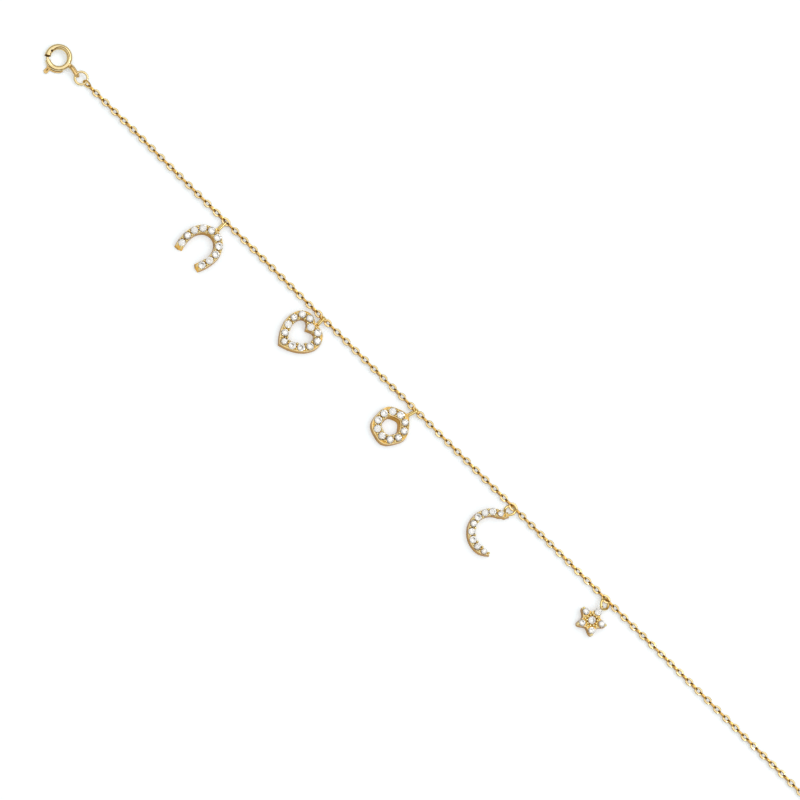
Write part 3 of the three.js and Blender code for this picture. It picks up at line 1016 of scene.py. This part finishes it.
def charm_pieces(name, charm):
    made = BUILDERS[name]()
    place = (Matrix.Translation(station(charm["link"]) + Vector((*charm["at"], 0)))
             @ Matrix.Rotation(rad(charm["turn"]), 4, "Z"))
    solid = loft([(height, loops) for (height, _, _), loops in zip(LEVELS, made.loops)])
    body = make_object(name + "_body", solid, METALS)
    seats = Shape()
    for at, radius in zip(made.stones, made.radii):
        wide = radius + SEAT_PLAY
        seat = lathe([(0, 0.72), (0.2, 0.75), (wide, 1.34), (wide, 1.7), (0, 1.7)], 20)
        # The seats' walls take the channel's painted shade.
        seats.add(*seat, Matrix.Translation((at.x, at.y, 0)), S_CHANNEL_SHADE)
    # The pits between paired beads take the dark painted shade.
    pits = Shape()
    for a, b in made.pairs:
        middle = (a + b) / 2
        pit = lathe([(0, 1.1), (0.12, 1.12), (0.17, 1.7), (0, 1.7)], 10)
        pits.add(*pit, Matrix.Translation((middle.x, middle.y, 0)), S_RECESS_SHADE)
    if name == "star":
        # The star's groove takes the walls' painted shade.
        groove = turned_ring([(0.66, 0.95), (1.02, 0.95), (1.12, 1.7), (0.66, 1.7)], 30)
        pits.add(*groove, slot=S_WALL_SHADE)
    cutters = [make_object("seats", seats, METALS)]
    if pits.verts:
        cutters.append(make_object("pits", pits, METALS))
    setting = take_shape(cut_away(body, *cutters))
    size = STAR_BEAD_R if name == "star" else BEAD_R
    # The beads take the brighter painted light.
    for at in [at for pair in made.pairs for at in pair] + made.beads:
        setting.add(*bead_solid(size), Matrix.Translation((at.x, at.y, 0)), S_BEAD_LIGHT)
    whole = Shape().put(setting, place)
    eye, upright = eye_place(charm)
    tall = CHARM_EYE_R if upright else CHARM_EYE_TALL
    loop = sweep(oval_points(CHARM_EYE_R, tall, 24), circle_section(CHARM_EYE_WIRE, 10))
    turn = Matrix.Rotation(math.pi / 2, 4, "Y") if upright else Matrix()
    whole.add(*loop, Matrix.Translation(station(charm["link"]) + eye) @ turn)
    show(make_object(name + "_setting", whole, METALS, crease=CUT_CREASE),
         stands_for=name + "_charm")

    gems = Shape()
    for at, radius in zip(made.stones, made.radii):
        lean = (Matrix.Rotation(rad(rng.uniform(-STONE_LEAN, STONE_LEAN)), 4, "X")
                @ Matrix.Rotation(rad(rng.uniform(-STONE_LEAN, STONE_LEAN)), 4, "Y")
                @ Matrix.Rotation(rng.uniform(0, math.pi / 4), 4, "Z"))
        cut = brilliant(radius, rng.uniform(*STONE_DEPTH), rng.uniform(*STONE_TABLE))
        gems.add(*cut, Matrix.Translation((at.x, at.y, GIRDLE_HEIGHT)) @ lean)
    show(make_object(name + "_stones", Shape().put(gems, place), [STONE], smooth=False))


def upright_bail(charm):
    across = LINK_WIRE + 0.15
    near = -across if charm["roll"] == 0 else across
    roll = rad(charm["roll"])
    link_end = Vector((0, near * math.cos(roll), CHAIN_HEIGHT + near * math.sin(roll)))
    eye = Vector((*charm["eye"], EYE_HEIGHT))
    along = (link_end - eye).normalized()
    eye_end = eye + along * BAIL_BEND
    side = (link_end - eye_end).length
    flank = Vector((0, 0, 1)).cross(along).normalized()
    up = flank.cross(along).normalized()
    basis = (Matrix((up, along, up.cross(along))).transposed().to_4x4()
             @ Matrix.Rotation(rad(BAIL_LEAN), 4, "Y"))
    middle = (link_end + eye_end) / 2
    ring = sweep(stadium_points(BAIL_BEND, side, 48), circle_section(BAIL_WIRE, 12))
    return Shape().add(*ring, Matrix.Translation(station(charm["link"]) + middle) @ basis)


def shield_points(radius, steps=64):
    """A round wire ring, its upper half squared a little and its lower half drawn to a point."""
    upper = oval_points(radius * 0.95, radius, steps, 2.05)
    lower = oval_points(radius * 0.95, radius * 1.06, steps, 1.5)
    return upper[:steps // 2 + 1] + lower[steps // 2 + 1:]


def flat_bail(charm):
    radius = FLAT_BAIL["radius"]
    line = shield_points(radius) if charm["pointed"] else oval_points(radius, radius, 64)
    ring = sweep(line, circle_section(FLAT_BAIL["wire"], 12))
    centre = Vector((charm["ring_x"], -FLAT_BAIL["drop"], FLAT_BAIL["height"]))
    place = Matrix.Translation(station(charm["link"]) + centre) @ flat_bail_turn(charm)
    return Shape().add(*ring, place)


for charm_name, charm_row in CHARMS.items():
    charm_pieces(charm_name, charm_row)
    ring_shape = upright_bail(charm_row) if "eye" in charm_row else flat_bail(charm_row)
    # The jump rings take the brighter painted light.
    show(make_object(charm_name + "_jump_ring", ring_shape, [BAIL_LIT_GOLD]),
         stands_for=charm_name + "_bail")


# ---- floor, light, camera ----

floor_mesh = bpy.data.meshes.new("floor")
floor_mesh.from_pydata([(x * FLOOR_REACH, y * FLOOR_REACH, 0)
                        for x, y in ((-1, -1), (1, -1), (1, 1), (-1, 1))], [], [[0, 1, 2, 3]])
floor_mesh.materials.append(floor_material())
floor = bpy.data.objects.new("floor", floor_mesh)
bpy.context.scene.collection.objects.link(floor)
floor.location.z = -FLOOR_DROP

# The tent of light over the anklet: its colour by the sine of the height above the horizon.
DOME = [(0.0, (0.38, 0.36, 0.32)), (0.25, (0.26, 0.22, 0.17)), (0.5, (0.34, 0.29, 0.22)),
        (0.72, (0.84, 0.82, 0.77)), (0.9, (1.0, 1.0, 1.0))]
world = bpy.data.worlds.new("studio")
bpy.context.scene.world = world
world.use_nodes = True
w_nodes, w_links = world.node_tree.nodes, world.node_tree.links
sky = w_nodes["Background"]
coords = w_nodes.new("ShaderNodeTexCoord")
split = w_nodes.new("ShaderNodeSeparateXYZ")
w_links.new(coords.outputs["Generated"], split.inputs["Vector"])
dome = ramp_node(w_nodes, w_links, split.outputs["Z"], DOME[0], DOME[-1])
for position, colour in DOME[1:-1]:
    dome.color_ramp.elements.new(position).color = (*colour, 1)
w_links.new(dome.outputs["Color"], sky.inputs["Color"])
sky.inputs["Strength"].default_value = 1.06
plain = w_nodes.new("ShaderNodeBackground")
plain.inputs["Color"].default_value = (1, 1, 1, 1)
rays = w_nodes.new("ShaderNodeLightPath")
mix = w_nodes.new("ShaderNodeMixShader")
w_links.new(rays.outputs["Is Camera Ray"], mix.inputs["Fac"])
w_links.new(sky.outputs["Background"], mix.inputs[1])
w_links.new(plain.outputs["Background"], mix.inputs[2])
w_links.new(mix.outputs["Shader"], w_nodes["World Output"].inputs["Surface"])


def soft_box(name, place, size, power):
    light = bpy.data.lights.new(name, "AREA")
    light.shape = "RECTANGLE"
    light.size, light.size_y = size
    light.energy = power
    lamp = bpy.data.objects.new(name, light)
    bpy.context.scene.collection.objects.link(lamp)
    lamp.location = place
    lamp.rotation_mode = "QUATERNION"
    lamp.rotation_quaternion = (-Vector(place)).to_track_quat("-Z", "Y")
    return lamp


soft_box("key", (0.10, 0.55, 0.85), (0.9, 0.6), 1.4)
soft_box("side", (0.75, 0.10, 0.55), (0.30, 0.50), 0.4)
soft_box("glint", (0.35, 0.25, 1.0), (0.08, 0.08), 0.5)

# The chain's slope across the view and the eye's height above the floor, in degrees, then the
# view's width and the clasp's place from its middle, in millimetres.
CHAIN_ANGLE = 44.79
ELEVATION = 75
VIEW_WIDTH = 150.943
CLASP_IN_VIEW = (-64.204, 64.785)

flat_right = Vector((1, 0, 0))
flat_up = Vector((0, math.sin(rad(ELEVATION)), math.cos(rad(ELEVATION))))
back = Vector((0, -math.cos(rad(ELEVATION)), math.sin(rad(ELEVATION))))
right = flat_right * math.cos(rad(CHAIN_ANGLE)) + flat_up * math.sin(rad(CHAIN_ANGLE))
up = back.cross(right)
anchor = station(0) + Vector((CLASP_FROM_FIRST_LINK, 0, clasp_height))
target = (anchor - right * CLASP_IN_VIEW[0] - up * CLASP_IN_VIEW[1]) * MM
camera_data = bpy.data.cameras.new("camera")
camera_data.lens = 200
camera_data.sensor_width = 36
distance = VIEW_WIDTH * MM * camera_data.lens / camera_data.sensor_width
camera_data.clip_start, camera_data.clip_end = 0.01, 100
camera = bpy.data.objects.new("camera", camera_data)
bpy.context.scene.collection.objects.link(camera)
camera.matrix_world = Matrix.Translation(target + back * distance) @ Matrix(
    (right, up, back)).transposed().to_4x4()
bpy.context.scene.camera = camera
bpy.context.scene.view_settings.view_transform = "Standard"
